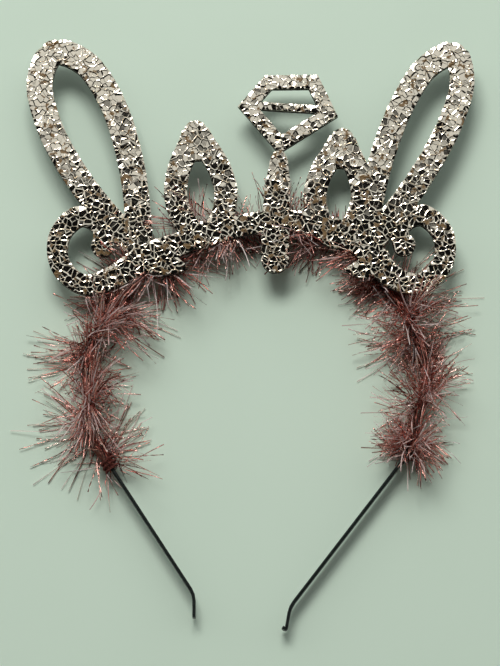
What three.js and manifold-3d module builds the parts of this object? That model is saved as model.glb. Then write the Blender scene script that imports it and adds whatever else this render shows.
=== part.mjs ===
// A dress-up tiara: a black steel headband wound with tinsel, and a pierced foil crest glued on
// its front. It lies on its back: X runs across the head, Y from the tips to the crest, Z is up.
// All lengths are millimetres and all angles are degrees.

import * as THREE from "three";
import { mergeVertices } from "three/addons/utils/BufferGeometryUtils.js";
import Module from "manifold-3d";

const wasm = await Module();
wasm.setup();

// Gap kept between pieces that touch or are glued on the real thing
const clearance = 0.3;

// Detail finer than this is left out of a joined shape
const smallestEdge = 0.05;

// Headband: a flat steel strip set on edge
const bandRadius = 64;
const stripThickness = 1.2;
const stripWidth = 5;
const stripChamfer = 0.35;
const stripStep = 4.4;
const leftArmLength = 57.4;
const leftArmSlope = 56.9;
const rightArmLength = 70.4;
const rightArmSlope = 52.4;
const tipLength = 8.6;
const leftTipSlope = 90;
const rightTipSlope = 100;
const bendRadius = 2.4;
const foldedEndLength = 1.6;
const foldedEndSlope = 215;

// Tinsel: one garland wound round the strip, its tufts standing out all round
const coreRadius = 0.7;
const coreSides = 5;
const coreSideRoom = 1.3;
const windingPitch = 30;
const endPitch = 1.7;
const endTurns = 2.5;
const samplesPerTurn = 10;
const garlandStart = 65;
const garlandEnd = 325;
const tuftSpacing = 2.4;
const lockLength = 17;
const lockRadius = 0.85;
const lockSides = 3;
const lockSpread = 0.62;
const lockBend = 2.6;
const shortestLock = 0.62;
const longestLock = 1.25;
const floorGrip = 0.25;
const tinselSeed = 4790;

// Crest: foil over one die-cut sheet of foam
const crestWidth = 174;
const crestHeight = 101.4;
const crestThickness = 2.5;
const crestDrop = 29.6;
const crestShift = -4.2;
const strokeWidth = 10.3;
const outlineStep = 3.1;
const capSteps = 7;
const foldShare = 0.96;
const gemFrameWidth = 5.6;
const gemBarWidth = 3;

// The arch of the headband, seen from the front. turn is the angle from the crown, clockwise,
// and reach is the distance from the centre of the arch as a share of bandRadius.
const archTable = [
  { turn: -123.4, reach: 1.036 },
  { turn: -114.2, reach: 1.034 },
  { turn: -105, reach: 1.028 },
  { turn: -89, reach: 1.003 },
  { turn: -72.3, reach: 0.98 },
  { turn: -58.7, reach: 0.938 },
  { turn: -46, reach: 0.903 },
  { turn: -26, reach: 0.893 },
  { turn: 0, reach: 0.917 },
  { turn: 31.7, reach: 0.938 },
  { turn: 52, reach: 0.941 },
  { turn: 71.6, reach: 0.955 },
  { turn: 91, reach: 0.99 },
  { turn: 105, reach: 0.985 },
  { turn: 121.5, reach: 1.002 },
];

// Strokes of the crest. across runs over crestWidth from its middle, up over crestHeight from its
// foot, and stroke is the width as a share of strokeWidth.
const baseScroll = [
  { across: -0.321, up: 0.185, stroke: 0.6 },
  { across: -0.319, up: 0.262, stroke: 0.74 },
  { across: -0.365, up: 0.304, stroke: 0.8 },
  { across: -0.41, up: 0.231, stroke: 0.8 },
  { across: -0.408, up: 0.112, stroke: 0.76 },
  { across: -0.356, up: 0.038, stroke: 0.76 },
  { across: -0.29, up: 0.069, stroke: 0.86 },
  { across: -0.221, up: 0.146, stroke: 0.95 },
  { across: -0.116, up: 0.212, stroke: 0.86 },
  { across: -0.02, up: 0.265, stroke: 0.8 },
  { across: 0.09, up: 0.285, stroke: 0.8 },
  { across: 0.188, up: 0.254, stroke: 0.86 },
  { across: 0.264, up: 0.173, stroke: 0.95 },
  { across: 0.317, up: 0.069, stroke: 0.86 },
  { across: 0.376, up: 0.042, stroke: 0.76 },
  { across: 0.426, up: 0.115, stroke: 0.76 },
  { across: 0.428, up: 0.235, stroke: 0.8 },
  { across: 0.382, up: 0.308, stroke: 0.8 },
  { across: 0.334, up: 0.265, stroke: 0.74 },
  { across: 0.338, up: 0.188, stroke: 0.6 },
];
const stalk = [
  { across: 0.07, up: 0.535, stroke: 0.5 },
  { across: 0.068, up: 0.458, stroke: 0.86 },
  { across: 0.063, up: 0.315, stroke: 1.0 },
  { across: 0.061, up: 0.15, stroke: 1.02 },
];
const leftLeaf = [
  { across: -0.216, up: 0.135, stroke: 1.0 },
  { across: -0.164, up: 0.115, stroke: 0.8 },
  { across: -0.135, up: 0.104, stroke: 0.16 },
];
const rightLeaf = [
  { across: 0.286, up: 0.135, stroke: 0.9 },
  { across: 0.253, up: 0.1, stroke: 0.75 },
  { across: 0.214, up: 0.096, stroke: 0.16 },
];
const openStrokes = [baseScroll, stalk, leftLeaf, rightLeaf];

// Half width of a petal along its length, as shares of its widest half and of its length
const roundPetal = [
  { along: 0.14, half: 0.4 },
  { along: 0.4, half: 0.84 },
  { along: 0.68, half: 1 },
  { along: 0.9, half: 0.72 },
];
const pointedPetal = [
  { along: 0.12, half: 0.62 },
  { along: 0.38, half: 1 },
  { along: 0.64, half: 0.82 },
  { along: 0.86, half: 0.34 },
];

// Petals that stand on the base scroll, with half as a share of crestWidth
const petals = [
  {
    base: { across: -0.242, up: 0.196 },
    tip: { across: -0.43, up: 0.95 },
    half: 0.074,
    stroke: 0.97,
    profile: roundPetal,
  },
  {
    base: { across: -0.094, up: 0.219 },
    tip: { across: -0.114, up: 0.635 },
    half: 0.055,
    stroke: 0.86,
    profile: pointedPetal,
  },
  {
    base: { across: 0.194, up: 0.219 },
    tip: { across: 0.21, up: 0.604 },
    half: 0.052,
    stroke: 0.86,
    profile: pointedPetal,
  },
  {
    base: { across: 0.26, up: 0.196 },
    tip: { across: 0.459, up: 0.942 },
    half: 0.057,
    stroke: 0.92,
    profile: roundPetal,
  },
];

// Round ends of the two scrolls and the stalk, with radius as a share of strokeWidth
const balls = [
  { across: -0.317, up: 0.188, radius: 0.42 },
  { across: 0.343, up: 0.192, radius: 0.42 },
  { across: 0.061, up: 0.135, radius: 0.51 },
];

// Corners of the gem's outline, and the ends of the bar across it
const gemCorners = [
  { across: 0.0, up: 0.735 },
  { across: 0.047, up: 0.83 },
  { across: 0.146, up: 0.832 },
  { across: 0.18, up: 0.705 },
  { across: 0.073, up: 0.585 },
];
const gemBarEnds = [
  { across: 0.02, up: 0.738 },
  { across: 0.162, up: 0.722 },
];

const crown = archTable.find(({ turn }) => turn === 0);
const degree = Math.PI / 180;

// A repeatable stream of numbers from 0 to 1
function randomStream(seed) {
  let state = seed;
  return () => {
    state = (state + 0x6d2b79f5) | 0;
    let mixed = Math.imul(state ^ (state >>> 15), 1 | state);
    mixed = (mixed + Math.imul(mixed ^ (mixed >>> 7), 61 | mixed)) ^ mixed;
    return ((mixed ^ (mixed >>> 14)) >>> 0) / 4294967296;
  };
}

function solidFrom(geometry) {
  const bare = geometry.clone();
  bare.deleteAttribute("normal");
  bare.deleteAttribute("uv");
  const merged = mergeVertices(bare, 1e-4);
  return new wasm.Manifold(
    new wasm.Mesh({
      numProp: 3,
      vertProperties: merged.attributes.position.array,
      triVerts: new Uint32Array(merged.index.array),
    }),
  );
}

function geometryFrom(solid) {
  const mesh = solid.getMesh();
  const geometry = new THREE.BufferGeometry();
  geometry.setAttribute("position", new THREE.BufferAttribute(mesh.vertProperties, 3));
  geometry.setIndex(new THREE.BufferAttribute(mesh.triVerts, 1));
  geometry.computeVertexNormals();
  return geometry;
}

function joined(solids) {
  return solids.reduce((sum, next) => sum.add(next));
}

function largestBody(solid) {
  const bodies = solid.decompose();
  return bodies.reduce((best, next) => (next.volume() > best.volume() ? next : best));
}

// A curve whose evenly spaced points are its own stations, so bends keep their close spacing
class StationCurve extends THREE.CatmullRomCurve3 {
  getPointAt(share, target) {
    return this.getPoint(share, target);
  }

  getTangentAt(share, target) {
    return this.getTangent(share, target);
  }
}

function sweep(stations, section) {
  const path = new StationCurve(stations, false, "centripetal");
  return new THREE.ExtrudeGeometry(section, {
    steps: stations.length - 1,
    extrudePath: path,
  });
}

function ringSection(radius, sides) {
  const corners = Array.from({ length: sides }, (unused, i) => {
    const angle = (i / sides) * 2 * Math.PI;
    return new THREE.Vector2(radius * Math.cos(angle), radius * Math.sin(angle));
  });
  return new THREE.Shape(corners);
}

// Unit vector at a slope below the horizontal, 0 to the right and 90 straight to the tips
function slopeVector(slope) {
  return new THREE.Vector3(Math.cos(slope * degree), -Math.sin(slope * degree), 0);
}

// Corners of the band's route: the arch, then each arm, tip and the right end's small fold
function bandRoute() {
  const arch = archTable.map(({ turn, reach }) => {
    const radius = reach * bandRadius;
    return new THREE.Vector3(radius * Math.sin(turn * degree), radius * Math.cos(turn * degree), 0);
  });
  const curve = new THREE.CatmullRomCurve3(arch, false, "centripetal");
  const steps = Math.round(curve.getLength() / stripStep);
  const archStations = curve.getSpacedPoints(steps);

  const leftBend = arch[0].clone().addScaledVector(slopeVector(leftArmSlope), leftArmLength);
  const leftTip = leftBend.clone().addScaledVector(slopeVector(leftTipSlope), tipLength);
  const rightStart = arch[arch.length - 1];
  const rightDirection = slopeVector(rightArmSlope);
  rightDirection.setX(-rightDirection.x);
  const rightBend = rightStart.clone().addScaledVector(rightDirection, rightArmLength);
  const rightTip = rightBend.clone().addScaledVector(slopeVector(rightTipSlope), tipLength);
  const foldEnd = rightTip.clone().addScaledVector(slopeVector(foldedEndSlope), foldedEndLength);
  return {
    left: [leftTip, leftBend],
    arch: archStations,
    right: [rightBend, rightTip],
    foldEnd,
  };
}

// Three stations that round a corner between two straight runs
function roundedCorner(before, corner, after, radius) {
  const back = before.clone().sub(corner);
  const ahead = after.clone().sub(corner);
  const reach = Math.min(radius, back.length() / 2, ahead.length() / 2);
  const first = corner.clone().addScaledVector(back.normalize(), reach);
  const last = corner.clone().addScaledVector(ahead.normalize(), reach);
  const middle = first.clone().add(last).add(corner).add(corner).divideScalar(4);
  return [first, middle, last];
}

function bandStations() {
  const route = bandRoute();
  const [leftTip, leftBend] = route.left;
  const [rightBend, rightTip] = route.right;
  const arch = route.arch;
  const last = arch.length - 1;
  return [
    leftTip,
    ...roundedCorner(leftTip, leftBend, arch[0], bendRadius),
    leftBend.clone().lerp(arch[0], 0.5),
    ...roundedCorner(leftBend, arch[0], arch[1], bendRadius),
    ...arch.slice(1, last),
    ...roundedCorner(arch[last - 1], arch[last], rightBend, bendRadius),
    arch[last].clone().lerp(rightBend, 0.5),
    ...roundedCorner(arch[last], rightBend, rightTip, bendRadius),
    ...roundedCorner(rightBend, rightTip, route.foldEnd, foldedEndLength / 2),
    route.foldEnd,
  ];
}

// The strip's section with its broad way along Z, and an extra skin all round where asked
function stripSection(skin) {
  const halfWidth = stripWidth / 2 + skin;
  const halfThickness = stripThickness / 2 + skin;
  const cut = stripChamfer;
  return new THREE.Shape([
    new THREE.Vector2(-halfWidth, -halfThickness + cut),
    new THREE.Vector2(-halfWidth + cut, -halfThickness),
    new THREE.Vector2(halfWidth - cut, -halfThickness),
    new THREE.Vector2(halfWidth, -halfThickness + cut),
    new THREE.Vector2(halfWidth, halfThickness - cut),
    new THREE.Vector2(halfWidth - cut, halfThickness),
    new THREE.Vector2(-halfWidth + cut, halfThickness),
    new THREE.Vector2(-halfWidth, halfThickness - cut),
  ]);
}

// Heights of the layers above the surface that the tiara lies on
const stripMiddle = 2 * coreRadius + clearance + stripWidth / 2;
const crestBack = stripMiddle + stripWidth / 2 + 2 * coreRadius + 2 * clearance;

const stations = bandStations();
stations.forEach((station) => station.setZ(stripMiddle));
const bandCurve = new THREE.CatmullRomCurve3(stations, false, "centripetal");
bandCurve.arcLengthDivisions = 2000;
const bandLength = bandCurve.getLength();

// Point of the garland's core at a length along the band and a turn round it
function corePoint(along, turn) {
  const share = THREE.MathUtils.clamp(along / bandLength, 0, 1);
  const centre = bandCurve.getPointAt(share);
  const tangent = bandCurve.getTangentAt(share);
  const outward = new THREE.Vector3(-tangent.y, tangent.x, 0);
  const sideReach = stripThickness / 2 + coreRadius + coreSideRoom;
  const upReach = stripWidth / 2 + coreRadius + clearance;
  const radial = outward
    .multiplyScalar(sideReach * Math.cos(turn))
    .add(new THREE.Vector3(0, 0, upReach * Math.sin(turn)));
  return { point: centre.clone().add(radial), radial: radial.normalize(), tangent };
}

// Stations of the core: tight turns that bind each end, and long turns between them
function coreStations() {
  const turnStep = (2 * Math.PI) / samplesPerTurn;
  const bindingLength = endTurns * endPitch;
  const found = [];
  let along = garlandStart;
  let turn = 0;
  while (along < garlandEnd) {
    found.push({ along, turn, ...corePoint(along, turn) });
    const fromEnd = Math.min(along - garlandStart, garlandEnd - along);
    const pitch = fromEnd < bindingLength ? endPitch : windingPitch;
    along += pitch / samplesPerTurn;
    turn += turnStep;
  }
  return found;
}

// One tapered lock of strands from the core, curved sideways and kept off the floor
function lockSolid(base, direction, length, sideways) {
  const spike = new THREE.ConeGeometry(lockRadius, length, lockSides, 2);
  spike.translate(0, length / 2, 0);
  const turnToward = new THREE.Quaternion();
  turnToward.setFromUnitVectors(new THREE.Vector3(0, 1, 0), direction);
  const places = spike.attributes.position;
  const spot = new THREE.Vector3();
  for (let i = 0; i < places.count; i += 1) {
    spot.fromBufferAttribute(places, i);
    const share = spot.y / length;
    spot.applyQuaternion(turnToward).add(base);
    spot.addScaledVector(sideways, share * share);
    spot.z = Math.max(spot.z, floorGrip * share);
    places.setXYZ(i, spot.x, spot.y, spot.z);
  }
  return solidFrom(spike);
}

function garlandSolid() {
  const random = randomStream(tinselSeed);
  const signed = () => 2 * random() - 1;
  const core = coreStations();
  const tube = solidFrom(
    sweep(
      core.map((station) => station.point),
      ringSection(coreRadius, coreSides),
    ),
  );
  const locks = [];
  let nextTuft = garlandStart + tuftSpacing;
  for (const { along, point, radial, tangent } of core) {
    if (along < nextTuft || along > garlandEnd - tuftSpacing) continue;
    nextTuft += tuftSpacing;
    const direction = radial.clone();
    direction.addScaledVector(tangent, lockSpread * signed());
    direction.add(new THREE.Vector3(signed(), signed(), signed()).multiplyScalar(lockSpread));
    direction.normalize();
    const length = lockLength * (shortestLock + (longestLock - shortestLock) * random());
    const steepest = crestBack / length;
    direction.z = THREE.MathUtils.clamp(direction.z, -steepest / 2, steepest);
    direction.normalize();
    const sideways = new THREE.Vector3(signed(), signed(), 0).multiplyScalar(lockBend);
    locks.push(lockSolid(point, direction, length, sideways));
  }
  return joined([tube, ...locks]);
}

// Place on the crest's face from its shares
function crestPoint({ across, up }) {
  const foot = bandRadius * crown.reach - crestDrop;
  return new THREE.Vector2(crestShift + across * crestWidth, foot + up * crestHeight);
}

function strokeKnots(rows) {
  return rows.map((row) => {
    const place = crestPoint(row);
    return new THREE.Vector3(place.x, place.y, row.stroke * strokeWidth);
  });
}

// Centreline of a petal, up its left side, over its tip and down its right side
function petalKnots({ base, tip, half, stroke, profile }) {
  const foot = crestPoint(base);
  const top = crestPoint(tip);
  const side = top.clone().sub(foot).normalize();
  side.set(-side.y, side.x).multiplyScalar(half * crestWidth);
  const knot = (along, sideways) => {
    const place = foot.clone().lerp(top, along).addScaledVector(side, sideways);
    return new THREE.Vector3(place.x, place.y, stroke * strokeWidth);
  };
  const leftSide = profile.map((row) => knot(row.along, row.half));
  const rightSide = profile.map((row) => knot(row.along, -row.half)).reverse();
  return [knot(0, 0), ...leftSide, knot(1, 0), ...rightSide];
}

// Evenly spaced places along a stroke, each with its width, which the knots hold as their z
function strokeSamples(knots, closed) {
  const curve = new THREE.CatmullRomCurve3(knots, closed, "centripetal");
  const steps = Math.max(4, Math.round(curve.getLength() / outlineStep));
  const samples = curve.getSpacedPoints(steps);
  if (closed) samples.pop();
  return samples.map((sample, i) => {
    const tangent = curve.getTangentAt(i / steps);
    const side = new THREE.Vector2(-tangent.y, tangent.x).normalize();
    return { middle: new THREE.Vector2(sample.x, sample.y), side, half: sample.z / 2 };
  });
}

// One side of a stroke. A place that a tight bend folds back into the stroke is left out.
function edgeOf(samples, sign, skin) {
  const side = samples.map((sample) =>
    sample.middle.clone().addScaledVector(sample.side, sign * (sample.half + skin)),
  );
  return side.filter((place) =>
    samples.every(({ middle, half }) => place.distanceTo(middle) > foldShare * (half + skin)),
  );
}

// Round end of a stroke, from one side to the other
function capOf({ middle, side, half }, towardEnd, skin) {
  const ahead = side.clone().rotateAround(new THREE.Vector2(), -towardEnd * 90 * degree);
  return Array.from({ length: capSteps - 1 }, (unused, i) => {
    const angle = ((i + 1) / capSteps) * Math.PI;
    return middle
      .clone()
      .addScaledVector(side, towardEnd * (half + skin) * Math.cos(angle))
      .addScaledVector(ahead, (half + skin) * Math.sin(angle));
  });
}

function openStrokeShape(rows, skin) {
  const samples = strokeSamples(strokeKnots(rows), false);
  const outline = [
    ...edgeOf(samples, 1, skin),
    ...capOf(samples[samples.length - 1], 1, skin),
    ...edgeOf(samples, -1, skin).reverse(),
    ...capOf(samples[0], -1, skin),
  ];
  return new THREE.Shape(outline);
}

function petalShape(petal, skin) {
  const samples = strokeSamples(petalKnots(petal), true);
  const shape = new THREE.Shape(edgeOf(samples, 1, skin));
  shape.holes.push(new THREE.Path(edgeOf(samples, -1, skin).reverse()));
  return shape;
}

function ballShape({ across, up, radius }, skin) {
  const middle = crestPoint({ across, up });
  const sides = capSteps * 3;
  const reach = radius * strokeWidth + skin;
  const corners = Array.from({ length: sides }, (unused, i) => {
    const angle = (i / sides) * 2 * Math.PI;
    return new THREE.Vector2(middle.x + reach * Math.cos(angle), middle.y + reach * Math.sin(angle));
  });
  return new THREE.Shape(corners);
}

// The polygon moved in or out by a distance, corner by corner
function offsetPolygon(corners, distance) {
  return corners.map((corner, i) => {
    const before = corners[(i + corners.length - 1) % corners.length];
    const after = corners[(i + 1) % corners.length];
    const along = corner.clone().sub(before).normalize();
    const onward = after.clone().sub(corner).normalize();
    const first = new THREE.Vector2(-along.y, along.x);
    const second = new THREE.Vector2(-onward.y, onward.x);
    const middle = first.clone().add(second).normalize();
    return corner.clone().addScaledVector(middle, distance / middle.dot(first));
  });
}

function gemShapes(skin) {
  const corners = gemCorners.map(crestPoint);
  const half = gemFrameWidth / 2;
  const frame = new THREE.Shape(offsetPolygon(corners, half + skin));
  frame.holes.push(new THREE.Path(offsetPolygon(corners, -half - skin).reverse()));
  const [start, end] = gemBarEnds.map(crestPoint);
  const side = end.clone().sub(start).normalize();
  side.set(-side.y, side.x).multiplyScalar(gemBarWidth / 2 + skin);
  const bar = new THREE.Shape([
    start.clone().sub(side),
    end.clone().sub(side),
    end.clone().add(side),
    start.clone().add(side),
  ]);
  return [frame, bar];
}

function crestSolid(skin) {
  const shapes = [
    ...openStrokes.map((rows) => openStrokeShape(rows, skin)),
    ...petals.map((petal) => petalShape(petal, skin)),
    ...petals.map(({ tip, stroke }) => ballShape({ ...tip, radius: stroke / 2 }, skin)),
    ...balls.map((ball) => ballShape(ball, skin)),
    ...gemShapes(skin),
  ];
  const layers = shapes.map((shape) => {
    const depth = crestThickness + 2 * skin;
    const sheet = new THREE.ExtrudeGeometry(shape, { depth, bevelEnabled: false, steps: 1 });
    sheet.translate(0, 0, crestBack - skin);
    return solidFrom(sheet);
  });
  return joined(layers);
}

const bandMaterial = new THREE.MeshStandardMaterial({
  color: 0x14191a,
  roughness: 0.38,
  metalness: 0.75,
});
const tinselMaterial = new THREE.MeshStandardMaterial({
  color: 0x8c4a40,
  roughness: 0.3,
  metalness: 0.9,
});
const crestMaterial = new THREE.MeshStandardMaterial({
  color: 0xc8bba2,
  roughness: 0.25,
  metalness: 0.9,
});

const strip = solidFrom(sweep(stations, stripSection(0)));
const crest = crestSolid(0).simplify(smallestEdge);
const grownStrip = solidFrom(sweep(stations, stripSection(clearance)));
const garland = largestBody(
  garlandSolid().subtract(crestSolid(clearance)).subtract(grownStrip).simplify(smallestEdge),
);

const headband = new THREE.Mesh(geometryFrom(strip), bandMaterial);
headband.name = "headband_strip";
const tinsel = new THREE.Mesh(geometryFrom(garland), tinselMaterial);
tinsel.name = "tinsel_garland";
const plaque = new THREE.Mesh(geometryFrom(crest), crestMaterial);
plaque.name = "foil_crest";

// The origin is under the middle of the whole piece, on the surface that it lies on
const tiara = new THREE.Group();
tiara.add(headband, tinsel, plaque);
const extent = new THREE.Box3().setFromObject(tiara);
const middle = extent.getCenter(new THREE.Vector3());
tiara.position.set(-middle.x, -middle.y, -extent.min.z);

export default tiara;
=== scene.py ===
"""Looks of a dress-up tiara: a black steel headband wound with tinsel and a crackled foil crest.

The shapes are worked out in millimetres and handed to Blender in metres.
"""

import math
from collections import Counter

import bpy
import numpy as np
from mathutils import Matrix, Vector
from mathutils.geometry import delaunay_2d_cdt


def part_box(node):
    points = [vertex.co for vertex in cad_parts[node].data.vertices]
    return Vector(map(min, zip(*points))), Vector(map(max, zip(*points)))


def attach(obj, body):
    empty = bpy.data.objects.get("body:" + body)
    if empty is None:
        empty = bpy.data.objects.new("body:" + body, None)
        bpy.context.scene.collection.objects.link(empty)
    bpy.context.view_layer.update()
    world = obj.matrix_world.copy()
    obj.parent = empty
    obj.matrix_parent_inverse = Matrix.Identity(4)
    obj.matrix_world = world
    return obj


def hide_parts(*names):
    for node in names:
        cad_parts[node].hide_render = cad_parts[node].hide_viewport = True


MM = 0.001

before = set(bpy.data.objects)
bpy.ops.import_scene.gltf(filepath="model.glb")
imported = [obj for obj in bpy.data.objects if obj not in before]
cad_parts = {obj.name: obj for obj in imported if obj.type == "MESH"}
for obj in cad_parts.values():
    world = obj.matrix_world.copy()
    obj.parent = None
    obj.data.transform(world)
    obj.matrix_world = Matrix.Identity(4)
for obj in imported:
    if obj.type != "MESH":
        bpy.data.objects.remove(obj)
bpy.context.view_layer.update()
rng = np.random.default_rng(4790)

# Foil, in millimetres and in slopes
OUTLINE_STEP = 0.55
CORNER_TURN = math.radians(45)
FACET_PITCH = 2.0
CELL_PITCH = 4.3
RIDGE_WIDTH = 0.38
CREASE_WIDTH = 0.16
RIDGE_HEIGHT = 0.27
CREASE_HEIGHT = 0.035
FACET_TILT = 0.01
CELL_TILT = 0.014
CELL_LEAN = 0.034
LOW_CELL_LEAN = 0.062
LEAN_LEVEL = 60
LEAN_REACH = 50
LEVEL_SPREAD = 0.03
FACET_JITTER = 0.46
CELL_JITTER = 0.48
WARP_LENGTH = 6.5
WARP_SIZE = 0.3
RIDGE_PATCH = 6
RIDGE_LEAST_PATCH, RIDGE_MOST_PATCH = -1.6, 1.3
LINE_STEP = 0.6
FILLED_STEP = 0.5
FILLED_MARGIN = 5
GRID_MARGIN = 8
WELD = 0.02
FOIL_SINK = 0.1
EDGE_DROP = 0.16
FOIL_THICKNESS = 0.35
FOAM_INSET = 0.06
FOAM_GAP = 0.02

# Tinsel, with the same windings and locks as the garland in the frame
CORE_RADIUS = 0.7
CORE_SIDE_ROOM = 1.3
WINDING_PITCH = 30
END_PITCH = 1.7
END_TURNS = 2.5
SAMPLES_PER_TURN = 10
GARLAND_START = 65
GARLAND_END = 325
TUFT_SPACING = 2.4
LOCK_LENGTH = 17
LOCK_SPREAD = 0.62
LOCK_BEND = 2.6
LOCK_RISE = 0.13
SHORTEST_LOCK = 0.62
LONGEST_LOCK = 1.25
CLEARANCE = 0.3
TINSEL_SEED = 4790
STRIP_THICKNESS = 1.2
WAY_REACH = 2

# Strands
FILM_THICKNESS = 0.05
LEAST_WIDTH, MOST_WIDTH = 0.75, 1.2
LOWEST = 0.02
BASE_SPREAD = 0.4
CROSSING_LENGTH = 0.75
STEEPEST_RISE = 3
CURL_RISE = 0.6
SWING = 0.022
TIP_LIFT = 0.25
ROOM_UNDER_CREST = 0.35
ROOM_OVER_CREST = 0.65
CREST_MARGIN = 0.6
SLOWEST_SWING, FASTEST_SWING = 0.6, 1.6
RIBBON_UP = (0.12, 0.2, 1.0)
SHORTEST_WOUND, LONGEST_WOUND = 6, 15
WOUND_END_ROOM = 9
WOUND_SPREAD = 0.9
WOUND_LIFT = 0.8
WOUND_SIDE_ROOM = 0.7
WOUND_TOP_ROOM = 0.6
COVER_GRID = 0.4

# Thread: two plies
PLY_SIDES = 7
PLY_RADIUS = 0.34
PLY_OFFSET = 0.28
PLY_PITCH = 1.6
PLY_STEP = 0.12


# Meshes


def mesh_object(name, points, faces, node=None):
    """One mesh in metres from millimetre points and a list or array of faces."""
    mesh = bpy.data.meshes.new(name)
    points = np.asarray(points, dtype=np.float64) * MM
    if isinstance(faces, np.ndarray):
        corners = faces.shape[1]
        mesh.vertices.add(len(points))
        mesh.vertices.foreach_set("co", points.astype(np.float32).ravel())
        mesh.loops.add(faces.size)
        mesh.loops.foreach_set("vertex_index", faces.astype(np.int32).ravel())
        mesh.polygons.add(len(faces))
        starts = np.arange(0, faces.size, corners, dtype=np.int32)
        mesh.polygons.foreach_set("loop_start", starts)
        mesh.update(calc_edges=True)
    else:
        mesh.from_pydata(points.tolist(), [], faces)
    mesh.validate()
    made = bpy.data.objects.new(name, mesh)
    bpy.context.scene.collection.objects.link(made)
    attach(made, "root")
    if node:
        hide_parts(node)
    return made


def node_arrays(name):
    """Merged points in millimetres and triangles of a node of the frame."""
    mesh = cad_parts[name].data
    mesh.calc_loop_triangles()
    points = np.empty(len(mesh.vertices) * 3, dtype=np.float64)
    mesh.vertices.foreach_get("co", points)
    points = points.reshape(-1, 3) / MM
    triangles = np.empty(len(mesh.loop_triangles) * 3, dtype=np.int64)
    mesh.loop_triangles.foreach_get("vertices", triangles)
    merged, index = np.unique(np.round(points, 3), axis=0, return_inverse=True)
    return merged, index.ravel()[triangles].reshape(-1, 3)


def border_loops(triangles):
    """Loops of the directed edges that only one triangle has."""
    edges = np.concatenate([triangles[:, [0, 1]], triangles[:, [1, 2]], triangles[:, [2, 0]]])
    known = Counter(map(tuple, edges.tolist()))
    onward = {}
    for (a, b), count in known.items():
        spare = count - known.get((b, a), 0)
        if a != b and spare > 0:
            onward.setdefault(a, []).extend([b] * spare)
    loops = []
    while onward:
        start = next(iter(onward))
        loop = [start]
        here = start
        while True:
            following = onward[here].pop()
            if not onward[here]:
                del onward[here]
            if following == start:
                break
            loop.append(following)
            here = following
        loops.append(loop)
    return loops


# Outline of the crest


def smooth_loop(corners):
    """The loop as short steps that round its shallow corners and keep its sharp ones."""
    before = np.roll(corners, 1, axis=0)
    after = np.roll(corners, -1, axis=0)
    back = corners - before
    ahead = after - corners
    back_length = np.linalg.norm(back, axis=1, keepdims=True)
    ahead_length = np.linalg.norm(ahead, axis=1, keepdims=True)
    back_way = back / back_length
    ahead_way = ahead / ahead_length
    turn = np.arccos(np.clip((back_way * ahead_way).sum(axis=1), -1, 1))
    sharp = turn > CORNER_TURN
    mean = back_way * ahead_length + ahead_way * back_length
    mean /= np.linalg.norm(mean, axis=1, keepdims=True)
    leave = np.where(sharp[:, None], ahead_way, mean)
    arrive = np.where(sharp[:, None], back_way, mean)
    found = []
    for i in range(len(corners)):
        j = (i + 1) % len(corners)
        length = ahead_length[i, 0]
        steps = max(1, round(length / OUTLINE_STEP))
        t = (np.arange(steps) / steps)[:, None]
        start = corners[i] * (2 * t**3 - 3 * t**2 + 1) + leave[i] * length * (t**3 - 2 * t**2 + t)
        end = corners[j] * (3 * t**2 - 2 * t**3) + arrive[j] * length * (t**3 - t**2)
        found.append(start + end)
    return np.concatenate(found)


def loop_edges(loops):
    """Start and end points of all steps of the loops."""
    starts = np.concatenate(loops)
    ends = np.concatenate([np.roll(loop, -1, axis=0) for loop in loops])
    return starts, ends


def inside(places, starts, ends, bins=240):
    """Which places lie inside the loops, by counting the crossings to their left."""
    low = min(starts[:, 1].min(), places[:, 1].min()) - 1e-6
    high = max(starts[:, 1].max(), places[:, 1].max()) + 1e-6
    size = (high - low) / bins
    place_bin = ((places[:, 1] - low) / size).astype(int)
    edge_low = ((np.minimum(starts[:, 1], ends[:, 1]) - low) / size).astype(int)
    edge_high = ((np.maximum(starts[:, 1], ends[:, 1]) - low) / size).astype(int)
    found = np.zeros(len(places), dtype=bool)
    order = np.argsort(place_bin, kind="stable")
    limits = np.searchsorted(place_bin[order], np.arange(bins + 1))
    for row in range(bins):
        chosen = order[limits[row] : limits[row + 1]]
        if not len(chosen):
            continue
        near = (edge_low <= row) & (edge_high >= row)
        a, b = starts[near], ends[near]
        if not len(a):
            continue
        y = places[chosen, 1][:, None]
        spans = (a[:, 1] > y) != (b[:, 1] > y)
        rise = np.where(a[:, 1] == b[:, 1], 1, b[:, 1] - a[:, 1])
        cross = a[:, 0] + (y - a[:, 1]) / rise * (b[:, 0] - a[:, 0])
        found[chosen] = (spans & (cross < places[chosen, 0][:, None])).sum(axis=1) % 2 == 1
    return found


def triangulated(points, edges, starts, ends, epsilon):
    """Triangles of the points and edges that lie inside the loops."""
    vectors = [Vector(point) for point in points]
    verts, _, faces, _, _, _ = delaunay_2d_cdt(vectors, edges, [], 0, epsilon, True)
    flat = np.array([tuple(v) for v in verts])
    triangles = np.array(faces)
    a, b, c = (flat[triangles[:, k]] for k in range(3))
    area = (b[:, 0] - a[:, 0]) * (c[:, 1] - a[:, 1]) - (b[:, 1] - a[:, 1]) * (c[:, 0] - a[:, 0])
    triangles[area < 0] = triangles[area < 0][:, ::-1]
    kept = inside((a + b + c) / 3, starts, ends) & (np.abs(area) > 1e-9)
    return flat, triangles[kept]


crest_points, crest_triangles = node_arrays("foil_crest")
crest_top = crest_points[:, 2].max()
crest_foot = crest_points[:, 2].min()
on_top = (crest_points[crest_triangles][:, :, 2] > crest_top - 0.01).all(axis=1)
top_triangles = crest_triangles[on_top]
crest_loops = [smooth_loop(crest_points[loop][:, :2]) for loop in border_loops(top_triangles)]
edge_starts, edge_ends = loop_edges(crest_loops)


# Crackled foil


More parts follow.
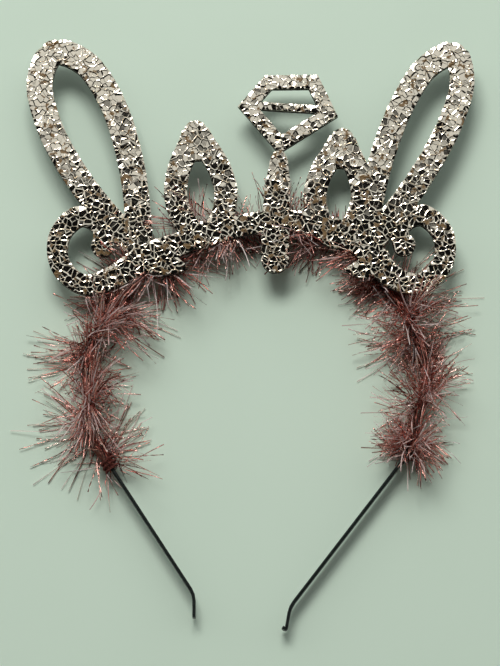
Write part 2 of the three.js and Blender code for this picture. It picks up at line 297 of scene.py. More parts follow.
def waves(places, length, seed, count=6):
    """Smooth noise of about one unit, for each place."""
    stream = np.random.default_rng(seed)
    total = np.zeros(len(places))
    for _ in range(count):
        angle = stream.uniform(0, 2 * math.pi)
        pace = 2 * math.pi / (length * stream.uniform(0.7, 1.4))
        phase = stream.uniform(0, 2 * math.pi)
        along = places[:, 0] * math.cos(angle) + places[:, 1] * math.sin(angle)
        total += np.sin(pace * along + phase)
    return total / math.sqrt(count / 2)


def warp(places):
    """How far each place is shifted, so that the creases aren't straight."""
    shifts = [waves(places, WARP_LENGTH, seed) for seed in (11, 12)]
    return np.stack(shifts, axis=1) * WARP_SIZE


def unwarp(targets):
    """Places that the warp carries to the targets."""
    places = targets.copy()
    for _ in range(8):
        places = targets - warp(places)
    return places


low = edge_starts.min(axis=0) - GRID_MARGIN
high = edge_starts.max(axis=0) + GRID_MARGIN


def grid_size(pitch):
    """Columns and rows of a grid of this pitch over the crest."""
    return int((high[0] - low[0]) / pitch) + 1, int((high[1] - low[1]) / pitch) + 1


def nearest_spot(places, pitch, rows, columns):
    """Row and column of the grid point that is nearest to each place."""
    column = np.clip(((places[..., 0] - low[0]) / pitch).round().astype(int), 0, columns - 1)
    row = np.clip(((places[..., 1] - low[1]) / pitch).round().astype(int), 0, rows - 1)
    return row, column


def filled_grid(pitch):
    """Which points of a grid of this pitch lie on the crest."""
    columns, rows = grid_size(pitch)
    x, y = np.meshgrid(low[0] + np.arange(columns) * pitch, low[1] + np.arange(rows) * pitch)
    places = np.stack([x.ravel(), y.ravel()], axis=1)
    return inside(places, edge_starts, edge_ends).reshape(rows, columns)


def scattered(pitch, jitter):
    """A jittered grid over the crest, as an array of rows and columns."""
    columns, rows = grid_size(pitch)
    x, y = np.meshgrid(np.arange(columns), np.arange(rows))
    grid = np.stack([x, y], axis=2).astype(float)
    grid[1::2, :, 0] += 0.5
    grid += rng.uniform(-jitter, jitter, grid.shape)
    return low + grid * pitch


facets = scattered(FACET_PITCH, FACET_JITTER)
cells = scattered(CELL_PITCH, CELL_JITTER)
facet_rows, facet_columns = facets.shape[:2]
facet_seeds = facets.reshape(-1, 2)
cell_seeds = cells.reshape(-1, 2)
apart = ((facet_seeds[:, None, :] - cell_seeds[None, :, :]) ** 2).sum(axis=2)
parent = apart.argmin(axis=1)
facet_slope = rng.normal(0, FACET_TILT, facet_seeds.shape)
cell_slope = rng.normal(0, CELL_TILT, cell_seeds.shape)
past_level = (cell_seeds[:, 1] - LEAN_LEVEL) / LEAN_REACH
cell_slope[:, 1] -= np.where(past_level < 0, LOW_CELL_LEAN, CELL_LEAN) * past_level
cell_level = rng.normal(0, LEVEL_SPREAD, len(cell_seeds))


def neighbours(places, span=2):
    """Indices of the facets round each place."""
    row, column = nearest_spot(places, FACET_PITCH, facet_rows, facet_columns)
    across, up = np.meshgrid(np.arange(-span, span + 1), np.arange(-span, span + 1))
    columns = np.clip(column[:, None] + across.ravel(), 0, facet_columns - 1)
    rows = np.clip(row[:, None] + up.ravel(), 0, facet_rows - 1)
    return rows * facet_columns + columns


def relief(places):
    """Height of the foil over its mean level at each place."""
    warped = places + warp(places)
    around = neighbours(warped)
    squares = ((facet_seeds[around] - warped[:, None, :]) ** 2).sum(axis=2)
    nearest = around[np.arange(len(places)), squares.argmin(axis=1)]
    own = squares.min(axis=1)
    gap = np.linalg.norm(facet_seeds[around] - facet_seeds[nearest][:, None, :], axis=2)
    other = around != nearest[:, None]
    distance = np.where(other, (squares - own[:, None]) / np.maximum(2 * gap, 1e-6), 99)
    major = parent[around] != parent[nearest][:, None]
    width = np.where(major, RIDGE_WIDTH, CREASE_WIDTH)
    fade = np.clip(1 - distance / width, 0, 1)
    patches = np.clip(waves(places, RIDGE_PATCH, 21), RIDGE_LEAST_PATCH, RIDGE_MOST_PATCH)
    strength = 0.85 + 0.35 * patches
    ridge = np.where(major, RIDGE_HEIGHT * strength[:, None], CREASE_HEIGHT)
    part = (fade * ridge).argmax(axis=1)
    rows = np.arange(len(places))
    fade, ridge = fade[rows, part], ridge[rows, part]
    slope = facet_slope[nearest] + cell_slope[parent[nearest]]
    offset = warped - facet_seeds[nearest]
    plane = cell_level[parent[nearest]] + (slope * offset).sum(axis=1)
    return plane * (1 - fade) + ridge * fade


def facet_lines():
    """Points and edges of every facet's border and of the flat inside it, near the crest."""
    vectors = [Vector(seed) for seed in facet_seeds]
    _, _, faces, _, _, _ = delaunay_2d_cdt(vectors, [], [], 0, 1e-5, False)
    triangles = np.array(faces)
    a, b, c = (facet_seeds[triangles[:, k]] for k in range(3))
    ab, ac = b - a, c - a
    cross = 2 * (ab[:, 0] * ac[:, 1] - ab[:, 1] * ac[:, 0])
    ab2, ac2 = (ab**2).sum(axis=1), (ac**2).sum(axis=1)
    centre_x = a[:, 0] + (ac[:, 1] * ab2 - ab[:, 1] * ac2) / cross
    centre_y = a[:, 1] + (ab[:, 0] * ac2 - ac[:, 0] * ab2) / cross
    centres = np.stack([centre_x, centre_y], axis=1)
    fans = {}
    for index, triangle in enumerate(triangles.tolist()):
        for corner in triangle:
            fans.setdefault(corner, []).append(index)

    filled = filled_grid(FILLED_STEP)
    rows, columns = filled.shape
    grown = filled.copy()
    for shift in range(-FILLED_MARGIN, FILLED_MARGIN + 1):
        for side in range(-FILLED_MARGIN, FILLED_MARGIN + 1):
            grown |= np.roll(np.roll(filled, shift, axis=0), side, axis=1)

    points, edges = [], []
    border = {}
    for index, around in fans.items():
        seed = facet_seeds[index]
        column = int((seed[0] - low[0]) / FILLED_STEP + 0.5)
        row = int((seed[1] - low[1]) / FILLED_STEP + 0.5)
        if not (0 <= row < rows and 0 <= column < columns) or not grown[row, column]:
            continue
        if len(around) < 3:
            continue
        ring = centres[around]
        turn = np.arctan2(ring[:, 1] - seed[1], ring[:, 0] - seed[0])
        order = np.argsort(turn)
        ring = ring[order]
        ids = [around[k] for k in order]
        if np.abs(ring - seed).max() > 3 * FACET_PITCH:
            continue
        for k, here in enumerate(ids):
            following = ids[(k + 1) % len(ids)]
            border[(min(here, following), max(here, following))] = True
        polygon = ring
        members = set(triangles[around].ravel().tolist()) - {index}
        for member in members:
            way = facet_seeds[member] - seed
            length = np.linalg.norm(way)
            way = way / length
            width = RIDGE_WIDTH if parent[member] != parent[index] else CREASE_WIDTH
            limit = length / 2 - width
            polygon = clipped(polygon, seed, way, limit)
            if len(polygon) < 3:
                break
        if len(polygon) < 3:
            continue
        first = len(points)
        count = len(polygon)
        points.extend(polygon.tolist())
        edges.extend((first + k, first + (k + 1) % count) for k in range(count))
    for here, following in border:
        a, b = centres[here], centres[following]
        length = np.linalg.norm(b - a)
        if length < 1e-3:
            continue
        steps = max(1, round(length / LINE_STEP))
        first = len(points)
        points.extend((a + (b - a) * k / steps).tolist() for k in range(steps + 1))
        edges.extend((first + k, first + k + 1) for k in range(steps))
    return np.array(points), edges


def clipped(polygon, seed, way, limit):
    """The part of a polygon that reaches no further than limit from the seed along way."""
    side = (polygon - seed) @ way - limit
    kept = []
    for k in range(len(polygon)):
        following = (k + 1) % len(polygon)
        if side[k] <= 0:
            kept.append(polygon[k])
        if (side[k] < 0 < side[following]) or (side[following] < 0 < side[k]):
            share = side[k] / (side[k] - side[following])
            kept.append(polygon[k] + (polygon[following] - polygon[k]) * share)
    return np.array(kept)


def loop_lines(first, loops):
    """Edges of the loops, with their points numbered from first."""
    edges = []
    for loop in loops:
        count = len(loop)
        edges.extend((first + k, first + (k + 1) % count) for k in range(count))
        first += count
    return edges


def shell(flat, triangles, heights, foot):
    """A closed body: a relief on top, plain walls, and a flat foot of the same outline."""
    loops = border_loops(triangles)
    used = np.unique(triangles)
    number = np.full(len(flat), -1)
    number[used] = np.arange(len(used))
    top = np.column_stack([flat[used], heights[used]])
    faces = [tuple(t) for t in number[triangles].tolist()]
    points = [top]
    first = count = len(top)
    outline = [np.array(loop) for loop in loops]
    places = np.concatenate([flat[loop] for loop in outline])
    for loop in outline:
        size = len(loop)
        points.append(np.column_stack([flat[loop], np.full(size, foot)]))
        upper = number[loop]
        for k in range(size):
            j = (k + 1) % size
            faces.append((upper[j], upper[k], count + k, count + j))
        count += size
    edges = loop_lines(0, outline)
    starts, ends = loop_edges([flat[loop] for loop in outline])
    vectors = [Vector(place) for place in places]
    verts, _, bottom, origins, _, _ = delaunay_2d_cdt(vectors, edges, [], 0, 1e-7, True)
    if len(verts) != len(places):
        print("foot of the shell: points", len(places), "became", len(verts))
    origin = np.array([o[0] if len(o) else -1 for o in origins])
    bottom = np.array(bottom)
    spots = np.array([tuple(v) for v in verts])
    kept = inside(spots[bottom].mean(axis=1), starts, ends)
    for triangle in origin[bottom[kept]].tolist():
        a, b, c = places[triangle]
        area = (b[0] - a[0]) * (c[1] - a[1]) - (b[1] - a[1]) * (c[0] - a[0])
        ordered = triangle[::-1] if area > 0 else triangle
        faces.append(tuple(int(first + t) for t in ordered))
    faces = [tuple(int(v) for v in face) for face in faces]
    return np.concatenate(points), faces


line_points, line_edges = facet_lines()
line_points = unwarp(line_points)
all_points = np.concatenate([line_points, edge_starts])
all_edges = line_edges + loop_lines(len(line_points), crest_loops)
foil_flat, foil_triangles = triangulated(all_points, all_edges, edge_starts, edge_ends, WELD)
foil_heights = crest_top - FOIL_SINK + relief(foil_flat)
rim = np.unique(np.concatenate([np.array(loop) for loop in border_loops(foil_triangles)]))
foil_heights[rim] = np.minimum(foil_heights[rim], crest_top) - EDGE_DROP
foil_foot = crest_top - FOIL_THICKNESS - FOIL_SINK
foil_points, foil_faces = shell(foil_flat, foil_triangles, foil_heights, foil_foot)
crest_foil = mesh_object("crest_foil", foil_points, foil_faces, "foil_crest")


def inset_loop(loop, distance):
    """The loop moved toward the inside of the crest."""
    way = np.roll(loop, -1, axis=0) - np.roll(loop, 1, axis=0)
    way /= np.maximum(np.linalg.norm(way, axis=1, keepdims=True), 1e-9)
    return loop + np.column_stack([-way[:, 1], way[:, 0]]) * distance


foam_loops = [inset_loop(loop, FOAM_INSET) for loop in crest_loops]
foam_starts, foam_ends = loop_edges(foam_loops)
foam_edges = loop_lines(0, foam_loops)
foam_flat, foam_triangles = triangulated(foam_starts, foam_edges, foam_starts, foam_ends, 1e-6)
foam_heights = np.full(len(foam_flat), foil_foot - FOAM_GAP)
foam_points, foam_faces = shell(foam_flat, foam_triangles, foam_heights, crest_foot)
crest_foam = mesh_object("crest_foam", foam_points, foam_faces, "foil_crest")


# Headband and garland


def band_line():
    """Middle line of the strip, from its left tip, with its lengths."""
    points, _ = node_arrays("headband_strip")
    top = points[points[:, 2] > points[:, 2].max() - 0.02][:, :2]
    left = top[:, 0] < 0
    start = np.where(left)[0][top[left][:, 1].argmin()]
    ordered = [start]
    free = np.ones(len(top), dtype=bool)
    free[start] = False
    while free.any():
        distance = np.linalg.norm(top - top[ordered[-1]], axis=1)
        distance[~free] = 1e9
        following = distance.argmin()
        ordered.append(following)
        free[following] = False
    chain = top[ordered]
    middle = (chain[0::2][: len(chain) // 2] + chain[1::2][: len(chain) // 2]) / 2
    middle = middle[np.r_[True, np.linalg.norm(np.diff(middle, axis=0), axis=1) > 0.3]]
    length = np.r_[0, np.cumsum(np.linalg.norm(np.diff(middle, axis=0), axis=1))]
    level = (points[:, 2].max() + points[:, 2].min()) / 2
    return middle, length, level, (points[:, 2].max() - points[:, 2].min())


line, line_length, strip_middle, strip_width = band_line()


def band_at(along):
    """Point and direction of the strip's middle line at a length along it."""
    places = (along - WAY_REACH, along, along + WAY_REACH)
    back, here, ahead = (
        [np.interp(place, line_length, line[:, k]) for k in range(2)] for place in places
    )
    way = np.array([ahead[0] - back[0], ahead[1] - back[1], 0])
    return np.array([here[0], here[1], strip_middle]), way / np.linalg.norm(way)


def core_point(along, turn):
    """Point of the core, its way out from the strip, and the way of the strip there."""
    centre, way = band_at(along)
    outward = np.array([-way[1], way[0], 0])
    side = STRIP_THICKNESS / 2 + CORE_RADIUS + CORE_SIDE_ROOM
    up = strip_width / 2 + CORE_RADIUS + CLEARANCE
    radial = outward * side * math.cos(turn) + np.array([0, 0, up * math.sin(turn)])
    return centre + radial, radial / np.linalg.norm(radial), way


def core_stations():
    """Stations of the core: tight turns that bind each end, and long turns between them."""
    found = []
    along, turn = GARLAND_START, 0.0
    binding = END_TURNS * END_PITCH
    while along < GARLAND_END:
        found.append((along, turn, *core_point(along, turn)))
        from_end = min(along - GARLAND_START, GARLAND_END - along)
        pitch = END_PITCH if from_end < binding else WINDING_PITCH
        along += pitch / SAMPLES_PER_TURN
        turn += 2 * math.pi / SAMPLES_PER_TURN
    return found


def repeatable(seed):
    """The same stream of numbers from 0 to 1 that placed the locks of the frame."""
    state = seed
    mask = 0xFFFFFFFF
    while True:
        state = (state + 0x6D2B79F5) & mask
        mixed = ((state ^ (state >> 15)) * (1 | state)) & mask
        mixed = ((mixed + ((mixed ^ (mixed >> 7)) * (61 | mixed) & mask)) & mask) ^ mixed
        yield ((mixed ^ (mixed >> 14)) & mask) / 4294967296


def garland_locks():
    """Way of the band, base, direction, length, sideways bend and strip's middle of each lock."""
    stream = repeatable(TINSEL_SEED)

    def signed():
        return 2 * next(stream) - 1

    locks = []
    next_tuft = GARLAND_START + TUFT_SPACING
    for along, _, point, radial, way in core_stations():
        if along < next_tuft or along > GARLAND_END - TUFT_SPACING:
            continue
        next_tuft += TUFT_SPACING
        direction = radial + way * LOCK_SPREAD * signed()
        direction = direction + np.array([signed(), signed(), signed()]) * LOCK_SPREAD
        direction /= np.linalg.norm(direction)
        length = LOCK_LENGTH * (SHORTEST_LOCK + (LONGEST_LOCK - SHORTEST_LOCK) * next(stream))
        steepest = (crest_foot + LOCK_RISE) / length
        direction[2] = min(max(direction[2], -steepest / 2), steepest)
        direction /= np.linalg.norm(direction)
        sideways = np.array([signed(), signed(), 0]) * LOCK_BEND
        locks.append((way, point, direction, length, sideways, band_at(along)[0]))
    return locks


locks = garland_locks()


# Where the crest is, as a grid that strands can be held off
covered = filled_grid(COVER_GRID)
for axis in (0, 1):
    covered = covered | np.roll(covered, 1, axis=axis) | np.roll(covered, -1, axis=axis)


def at_crest(places):
    """Which places lie under or over the crest."""
    return covered[nearest_spot(places, COVER_GRID, *covered.shape)]


def strands(count, spread, steps, width, curl, lengths, slide, crossing, seed):
    """Middle lines of strands that fan out from the locks, a share of them on the other side."""
    stream = np.random.default_rng(seed)
    chosen = stream.integers(0, len(locks), count)
    along, base, way, length, bend, middle = (np.array(column)[chosen] for column in zip(*locks))
    across = np.stack([-along[:, 1], along[:, 0], np.zeros(count)], axis=1)
    turned = (stream.random(count) < crossing)[:, None]

    def over_the_strip(vectors):
        return 2 * (vectors * across).sum(axis=1, keepdims=True) * across * turned

    base = base - over_the_strip(base - middle)
    way = way - over_the_strip(way)
    bend = bend - over_the_strip(bend)
    base = base + stream.normal(0, BASE_SPREAD, base.shape)
    base = base + along * stream.uniform(-slide, slide, (count, 1))
    way = way + stream.normal(0, spread, way.shape)
    way /= np.linalg.norm(way, axis=1, keepdims=True)
    length = length * stream.uniform(lengths[0], lengths[1], count)
    length = length * np.where(turned[:, 0], CROSSING_LENGTH, 1.0)
    steep = (crest_foot + STEEPEST_RISE) / length
    way[:, 2] = np.clip(way[:, 2], -steep / 2, steep)
    way /= np.linalg.norm(way, axis=1, keepdims=True)
    bend = bend + stream.normal(0, curl, bend.shape) * np.array([1, 1, CURL_RISE])
    t = np.linspace(0, 1, steps + 1)[None, :, None]
    path = base[:, None, :] + way[:, None, :] * length[:, None, None] * t + bend[:, None, :] * t**2
    swing = stream.normal(0, 1, (count, 1, 3))
    pace = stream.uniform(SLOWEST_SWING, FASTEST_SWING, (count, 1, 1)) * math.pi
    path += swing * np.sin(pace * t) * t * (length[:, None, None] * SWING)
    path[..., 2] = np.maximum(path[..., 2], width + TIP_LIFT * t[..., 0])
    beneath = path[:, 0, 2] < crest_top
    for k in range(steps + 1):
        z = path[:, k, 2]
        hidden = at_crest(path[:, k])
        beneath = np.where(hidden, beneath, z < crest_top - CREST_MARGIN)
        held_down = np.minimum(z, crest_foot - ROOM_UNDER_CREST)
        held_up = np.maximum(z, crest_top + ROOM_OVER_CREST)
        path[:, k, 2] = np.where(hidden, np.where(beneath, held_down, held_up), z)
    return path


def ribbons(name, paths, width, stream, twist, seed):
    """A piece of closed flat ribbons along the paths, twisted along their length."""
    count, stations, _ = paths.shape
    widths = width * stream.uniform(LEAST_WIDTH, MOST_WIDTH, count)
    start_angle = stream.uniform(0, math.pi, count)
    turns = stream.normal(0, twist, count)
    way = np.gradient(paths, axis=1)
    way /= np.maximum(np.linalg.norm(way, axis=2, keepdims=True), 1e-9)
    side = np.cross(way, np.array(RIBBON_UP))
    side /= np.maximum(np.linalg.norm(side, axis=2, keepdims=True), 1e-9)
    other = np.cross(way, side)
    t = np.linspace(0, 1, stations)[None, :, None]
    angle = start_angle[:, None, None] + turns[:, None, None] * 2 * math.pi * t
    broad = side * np.cos(angle) + other * np.sin(angle)
    thin = -side * np.sin(angle) + other * np.cos(angle)
    wide = broad * widths[:, None, None] / 2
    deep = thin * FILM_THICKNESS / 2
    corners = [paths + wide + deep, paths - wide + deep, paths - wide - deep, paths + wide - deep]
    points = np.stack(corners, axis=2)
    points[..., 2] = np.maximum(points[..., 2], LOWEST)
    base = (np.arange(count)[:, None] * stations + np.arange(stations - 1)[None, :]) * 4
    faces = []
    for k in range(4):
        j = (k + 1) % 4
        faces.append(np.stack([base + k, base + j, base + 4 + j, base + 4 + k], axis=2).reshape(-1, 4))
    first = np.arange(count) * stations * 4
    last = first + (stations - 1) * 4
    faces.append(np.stack([first + 3, first + 2, first + 1, first], axis=1))
    faces.append(np.stack([last, last + 1, last + 2, last + 3], axis=1))
    made = mesh_object(name, points.reshape(-1, 3), np.concatenate(faces), "tinsel_garland")
    # One number for each strand, which its material turns into a shade
    shade = np.random.default_rng(seed).random(count)
    layer = made.data.attributes.new("shade", "FLOAT", "POINT")
    layer.data.foreach_set("value", np.repeat(shade, stations * 4).astype(np.float32))
    return made


def tinsel(name, slot, twist, width, seed, **shape):
    """A piece of strands that fan out from the locks."""
    paths = strands(width=width, seed=seed, **shape)
    stream = np.random.default_rng(seed + 1)
    return ribbons(name, paths, width, stream, twist, seed + 2)


copper_strands = tinsel(
    "copper_strands", "copper_tinsel", twist=0.6, width=0.32, seed=31, count=1550, spread=0.36, steps=7,
    curl=0.7, lengths=(0.5, 1.2), slide=4.5, crossing=0.2,
)
short_strands = tinsel(
    "short_strands", "copper_tinsel", twist=0.4, width=0.32, seed=61, count=1000, spread=0.9, steps=4,
    curl=0.8, lengths=(0.2, 0.5), slide=5.0, crossing=0.4,
)
rose_strands = tinsel(
    "rose_strands", "copper_tinsel", twist=4.0, width=0.46, seed=41, count=620, spread=0.36, steps=16,
    curl=1.2, lengths=(0.7, 1.2), slide=4.5, crossing=0.2,
)
clear_strands = tinsel(
    "clear_strands", "clear_tinsel", twist=0.7, width=0.36, seed=51, count=1200, spread=0.45, steps=8,
    curl=2.4, lengths=(0.6, 1.2), slide=5.0, crossing=0.25,
)


def wound_strands(count, steps, width, twist, seed):
    """A piece of strands that lie close round the strip, caught under the winding."""
    stream = np.random.default_rng(seed)
    start = stream.uniform(GARLAND_START, GARLAND_END - WOUND_END_ROOM, count)
    reach = stream.uniform(SHORTEST_WOUND, LONGEST_WOUND, count) * stream.choice([-1, 1], count)
    angle = stream.uniform(0, 2 * math.pi, count)
    wind = stream.normal(0, WOUND_SPREAD, count)
    lift = stream.uniform(0, WOUND_LIFT, count)
    paths = np.zeros((count, steps + 1, 3))
    for k in range(count):
        for j in range(steps + 1):
            t = j / steps
            along = min(max(start[k] + reach[k] * t, GARLAND_START), GARLAND_END + 0.2 * t)
            centre, way = band_at(along)
            turn = angle[k] + wind[k] * t
            side = STRIP_THICKNESS / 2 + WOUND_SIDE_ROOM + lift[k] * (0.4 + t)
            up = strip_width / 2 + WOUND_TOP_ROOM + lift[k] * 0.4
            outward = np.array([-way[1], way[0], 0])
            rise = np.array([0, 0, up * math.sin(turn)])
            paths[k, j] = centre + outward * side * math.cos(turn) + rise
    paths[..., 2] = np.maximum(paths[..., 2], width)
    return ribbons("wound_strands", paths, width, stream, twist, seed + 2)


wound = wound_strands(count=1300, steps=5, width=0.32, twist=0.5, seed=71)


def thread_core():
    """Two plies twisted together along the winding."""
    stations = core_stations()
    alongs, turns = (np.array([station[k] for station in stations]) for k in range(2))
    fine = np.arange(0, turns[-1], PLY_STEP)
    centres = np.array([core_point(np.interp(t, turns, alongs), t)[0] for t in fine])
    way = np.gradient(centres, axis=0)
    step = np.linalg.norm(way, axis=1)
    way /= step[:, None]
    side = np.cross(way, np.array([0.1, 0.2, 1.0]))
    side /= np.linalg.norm(side, axis=1, keepdims=True)
    other = np.cross(way, side)
    phase = np.cumsum(step) / PLY_PITCH * 2 * math.pi
    points, faces = [], []
    sides = PLY_SIDES
    for ply in range(2):
        angle = (phase + ply * math.pi)[:, None]
        middle = centres + (side * np.cos(angle) + other * np.sin(angle)) * PLY_OFFSET
        first = ply * len(fine) * sides
        rim = []
        for k in range(sides):
            turn = 2 * math.pi * k / sides
            rim.append(middle + (side * math.cos(turn) + other * math.sin(turn)) * PLY_RADIUS)
        points.append(np.stack(rim, axis=1).reshape(-1, 3))
        base = first + np.arange(len(fine) - 1) * sides
        for k in range(sides):
            j = (k + 1) % sides
            quads = np.stack([base + k, base + sides + k, base + sides + j, base + j], axis=1)
            faces.extend(quads.tolist())
        faces.append([first + k for k in range(sides)])
        last = first + (len(fine) - 1) * sides
        faces.append([last + k for k in reversed(range(sides))])
    points = np.concatenate(points)
    points[:, 2] = np.maximum(points[:, 2], LOWEST)
    return mesh_object("thread_core", points, faces, "tinsel_garland")


core = thread_core()


# Materials


class Nodes:
    """A new material and short ways to fill its node tree."""

    def __init__(self, name):
        self.material = bpy.data.materials.new(name)
        self.material.use_nodes = True
        self.tree = self.material.node_tree
        self.shader = self.tree.nodes["Principled BSDF"]

    def add(self, kind, **values):
        node = self.tree.nodes.new(kind)
        for key, value in values.items():
            setattr(node, key, value)
        return node

    def link(self, source, target):
        self.tree.links.new(source, target)

    def position(self, grain):
        """Object position in units of the grain, which is in metres along each axis."""
        spot = self.add("ShaderNodeTexCoord")
        mapping = self.add("ShaderNodeMapping")
        mapping.inputs["Scale"].default_value = tuple(1 / size for size in grain)
        self.link(spot.outputs["Object"], mapping.inputs["Vector"])
        return mapping.outputs["Vector"]

    def noise(self, grain, detail, roughness):
        """Noise of this grain, given as one size or as one for each axis."""
        grain = grain if isinstance(grain, tuple) else (grain, grain, grain)
        texture = self.add("ShaderNodeTexNoise")
        texture.inputs["Scale"].default_value = 1.0
        texture.inputs["Detail"].default_value = detail
        texture.inputs["Roughness"].default_value = roughness
        self.link(self.position(grain), texture.inputs["Vector"])
        return texture.outputs["Fac"]

    def ramp(self, source, stops):
        ramp = self.add("ShaderNodeValToRGB")
        elements = ramp.color_ramp.elements
        while len(elements) < len(stops):
            elements.new(0.5)
        for element, (place, colour) in zip(elements, stops):
            element.position = place
            colour = colour if isinstance(colour, tuple) else (colour, colour, colour)
            element.color = (*colour, 1)
        self.link(source, ramp.inputs["Fac"])
        return ramp.outputs["Color"]

    def mix(self, factor, first, second):
        """From the first colour or socket to the second."""
        node = self.add("ShaderNodeMix", data_type="RGBA")
        sockets = [s for s in node.inputs if s.type == "RGBA"]
        for value, socket in zip((first, second), sockets):
            if isinstance(value, tuple):
                socket.default_value = (*value, 1)
            else:
                self.link(value, socket)
        self.link(factor, node.inputs["Factor"])
        return [s for s in node.outputs if s.type == "RGBA"][0]

    def bump(self, height, strength, distance):
        node = self.add("ShaderNodeBump")
        node.inputs["Strength"].default_value = strength
        node.inputs["Distance"].default_value = distance
        self.link(height, node.inputs["Height"])
        self.link(node.outputs["Normal"], self.shader.inputs["Normal"])

    def to(self, source, name):
        self.link(source, self.shader.inputs[name])

    def set(self, **values):
        for name, value in values.items():
            self.shader.inputs[name.replace("_", " ")].default_value = value


def foil_material():
    m = Nodes("champagne_foil")
    worn = m.ramp(m.noise(0.003, 3, 0.6), [(0.6, 0.0), (0.62, 1.0)])
    m.to(m.mix(worn, (0.86, 0.78, 0.66), (0.2, 0.12, 0.045)), "Base Color")
    m.to(m.ramp(worn, [(0.0, 1.0), (1.0, 0.15)]), "Metallic")
    fine = m.noise(0.0009, 3, 0.6)
    rough = m.ramp(fine, [(0.3, 0.05), (0.7, 0.1)])
    m.to(m.mix(worn, rough, (0.55, 0.55, 0.55)), "Roughness")
    m.bump(fine, 0.06, 0.00003)
    return m.material


def foam_material():
    m = Nodes("dark_foam")
    grain = m.noise(0.0006, 4, 0.6)
    m.to(m.ramp(grain, [(0.3, (0.022, 0.018, 0.014)), (0.75, (0.06, 0.048, 0.036))]), "Base Color")
    m.set(Roughness=0.85)
    m.bump(grain, 0.5, 0.0002)
    return m.material


def steel_material():
    m = Nodes("black_steel")
    streak = m.noise((0.0007, 0.0007, 0.004), 4, 0.6)
    m.to(m.ramp(streak, [(0.3, (0.006, 0.009, 0.009)), (0.7, (0.018, 0.024, 0.023))]), "Base Color")
    m.to(m.ramp(streak, [(0.3, 0.3), (0.7, 0.48)]), "Roughness")
    m.set(Metallic=0.6)
    m.bump(m.noise(0.0004, 3, 0.6), 0.25, 0.00005)
    return m.material


def copper_material(name, dark, pale, roughness):
    """Metallised film whose strands run from deep to pale."""
    m = Nodes(name)
    shade = m.add("ShaderNodeAttribute", attribute_name="shade")
    deep = tuple(part * 0.25 for part in dark)
    tone = m.ramp(shade.outputs["Fac"], [(0.1, deep), (0.4, dark), (1.0, pale)])
    patch = m.noise(0.0022, 2, 0.5)
    m.to(m.mix(m.ramp(patch, [(0.4, 0.0), (0.62, 0.65)]), tone, dark), "Base Color")
    m.set(Metallic=0.95, Roughness=roughness)
    m.bump(m.noise(0.0006, 2, 0.5), 0.4, 0.00006)
    return m.material


def clear_material():
    m = Nodes("clear_film")
    shade = m.add("ShaderNodeAttribute", attribute_name="shade")
    tone = m.ramp(shade.outputs["Fac"], [(0.0, (0.92, 0.6, 0.57)), (1.0, (0.97, 0.87, 0.85))])
    m.to(tone, "Base Color")
    m.set(Roughness=0.16, Alpha=0.55)
    m.shader.inputs["IOR"].default_value = 1.6
    m.bump(m.noise(0.0008, 2, 0.5), 0.3, 0.00006)
    return m.material


def thread_material():
    m = Nodes("copper_thread")
    tone = m.noise(0.001, 3, 0.6)
    m.to(m.ramp(tone, [(0.3, (0.06, 0.012, 0.01)), (0.7, (0.3, 0.09, 0.07))]), "Base Color")
    m.set(Metallic=0.6, Roughness=0.42)
    m.bump(tone, 0.5, 0.0002)
    return m.material


def floor_material():
    m = Nodes("pale_floor")
    tone = m.noise(0.09, 2, 0.5)
    m.to(m.ramp(tone, [(0.3, (0.76, 0.92, 0.78)), (0.7, (0.78, 0.94, 0.8))]), "Base Color")
    m.set(Roughness=0.7)
    m.shader.inputs["Specular IOR Level"].default_value = 0.2
    return m.material


def dress(made, material):
    """Give a piece this one material."""
    made.data.materials.clear()
    made.data.materials.append(material)


dress(crest_foil, foil_material())
dress(crest_foam, foam_material())
dress(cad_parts["headband_strip"], steel_material())
dark_film = copper_material("dark_film", (0.46, 0.12, 0.09), (0.92, 0.52, 0.44), 0.3)
dress(copper_strands, copper_material("copper_film", (0.66, 0.22, 0.18), (1.0, 0.72, 0.64), 0.24))
dress(short_strands, dark_film)
dress(wound, dark_film)
dress(rose_strands, copper_material("rose_film", (0.7, 0.34, 0.28), (1.0, 0.84, 0.76), 0.12))
dress(clear_strands, clear_material())
dress(core, thread_material())


# Stage, light and camera

FLOOR_HALF = 3.0
floor_mesh = bpy.data.meshes.new("floor")
floor_corners = [(FLOOR_HALF * x, FLOOR_HALF * y, 0) for x, y in ((-1, -1), (1, -1), (1, 1), (-1, 1))]
floor_mesh.from_pydata(floor_corners, [], [(0, 1, 2, 3)])
floor = bpy.data.objects.new("floor", floor_mesh)
bpy.context.scene.collection.objects.link(floor)
dress(floor, floor_material())


# A window beyond the crest, aimed at the middle of the floor
light = bpy.data.lights.new("window", "AREA")
light.shape = "RECTANGLE"
light.size, light.size_y = 1.0, 0.6
light.energy = 18
light.color = (1, 0.99, 0.96)
window = bpy.data.objects.new("window", light)
window.location = (-0.26, 1.15, 1.4)
window.rotation_euler = (-window.location).to_track_quat("-Z", "Y").to_euler()
bpy.context.scene.collection.objects.link(window)

# A pale room whose nearer half is dark up to a low pale band, so that the foil's lower part
# mirrors the dark
ROOM_EDGE = math.radians(17.5)
ROOM_SOFTNESS = math.radians(1.6)
world = bpy.data.worlds.new("room")
world.use_nodes = True
tree = world.node_tree
background = tree.nodes["Background"]
direction = tree.nodes.new("ShaderNodeTexCoord")


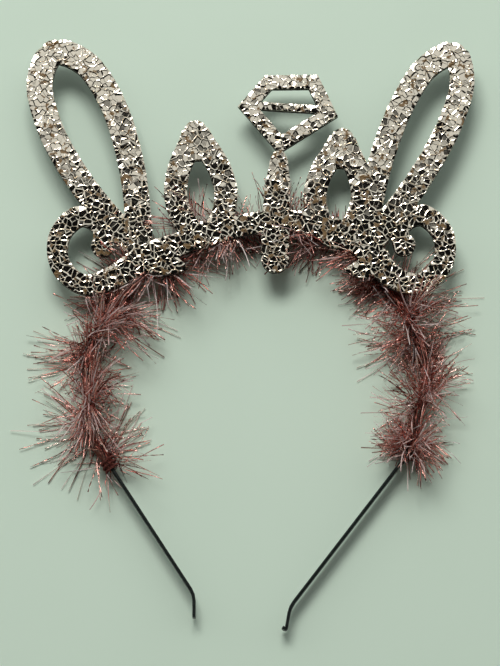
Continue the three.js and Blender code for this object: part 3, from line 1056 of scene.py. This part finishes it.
def room_part(way, start, end, least, most):
    """Brightness that changes from least to most along a way through the room."""
    toward = tree.nodes.new("ShaderNodeVectorMath")
    toward.operation = "DOT_PRODUCT"
    toward.inputs[1].default_value = way
    tree.links.new(direction.outputs["Generated"], toward.inputs[0])
    soft = tree.nodes.new("ShaderNodeMapRange")
    soft.interpolation_type = "SMOOTHSTEP"
    limits = {"From Min": start, "From Max": end, "To Min": least, "To Max": most}
    for name, value in limits.items():
        soft.inputs[name].default_value = value
    tree.links.new(toward.outputs["Value"], soft.inputs["Value"])
    return soft.outputs["Result"]


softness = math.sin(ROOM_SOFTNESS)
far_way = (0, math.cos(ROOM_EDGE), -math.sin(ROOM_EDGE))
window_side = room_part(far_way, start=-softness, end=softness, least=0.004, most=0.72)
near_side = room_part((0, -1, 0), start=0.75, end=0.98, least=0.0, most=0.5)
total = tree.nodes.new("ShaderNodeMath")
total.operation = "ADD"
tree.links.new(window_side, total.inputs[0])
tree.links.new(near_side, total.inputs[1])
background.inputs["Color"].default_value = (0.97, 1.0, 0.97, 1)
tree.links.new(total.outputs[0], background.inputs["Strength"])
bpy.context.scene.world = world
bpy.context.scene.view_settings.view_transform = "Standard"

# Camera, in metres
DISTANCE = 1.1
ELEVATION = math.radians(77)
SEEN_HEIGHT = 0.253
AIM_RIGHT, AIM_UP, AIM_LEVEL = -0.0026, 0.0346, 0.0055
strip_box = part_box("headband_strip")
strip_x = (strip_box[0][0] + strip_box[1][0]) / 2
strip_y = (strip_box[0][1] + strip_box[1][1]) / 2
target = Vector((strip_x + AIM_RIGHT, strip_y + AIM_UP, AIM_LEVEL))
lens = bpy.data.cameras.new("photo")
lens.sensor_fit = "VERTICAL"
lens.angle = 2 * math.atan(SEEN_HEIGHT / 2 / DISTANCE)
camera = bpy.data.objects.new("photo", lens)
view_way = Vector((0, -math.cos(ELEVATION), math.sin(ELEVATION)))
camera.location = target + view_way * DISTANCE
camera.rotation_euler = (target - camera.location).to_track_quat("-Z", "Y").to_euler()
bpy.context.scene.collection.objects.link(camera)
bpy.context.scene.camera = camera
